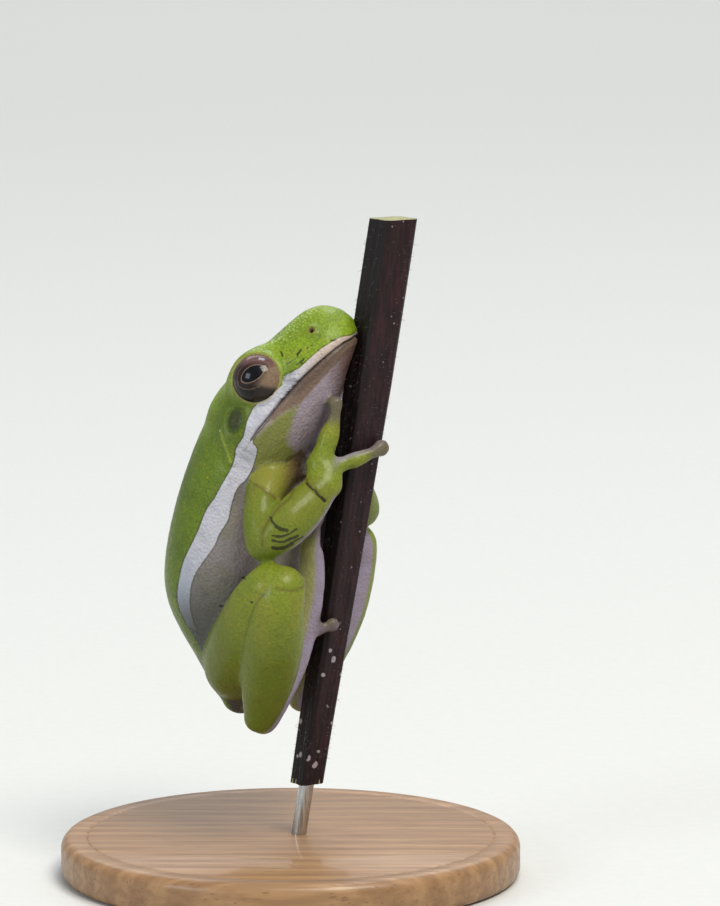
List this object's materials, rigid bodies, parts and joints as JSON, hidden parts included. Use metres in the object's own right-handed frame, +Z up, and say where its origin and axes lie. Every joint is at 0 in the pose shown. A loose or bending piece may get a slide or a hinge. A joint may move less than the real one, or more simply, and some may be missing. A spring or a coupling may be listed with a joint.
{
  "type": "green tree frog model",
  "caption": "Life-size still model of a green tree frog gripping a cut length of plant stem, held by a rod on a flat round base.",
  "frame": {"origin": "centre of the round base's underside, on the surface that the stand rests on", "axes": "+Z up, +X across the view of the frog's right side towards the stem, +Y away from the viewer"},
  "size_m": [0.058, 0.058, 0.083],
  "materials": {
    "skin": "moist satin",
    "eye": "gloss",
    "stem": "satin",
    "rod": "satin",
    "base": "satin"
  },
  "bodies": {
    "root": {"head": "skin", "torso": "skin", "right_eye": "eye", "left_eye": "eye", "right_upper_arm": "skin", "right_forearm": "skin", "right_hand": "skin", "left_upper_arm": "skin", "left_forearm": "skin", "left_hand": "skin", "right_thigh": "skin", "right_shank": "skin", "right_foot": "skin", "left_thigh": "skin", "left_shank": "skin", "left_foot": "skin", "perch_stem": "stem", "stand_rod": "rod", "stand_base": "base"}
  },
  "joints": []
}
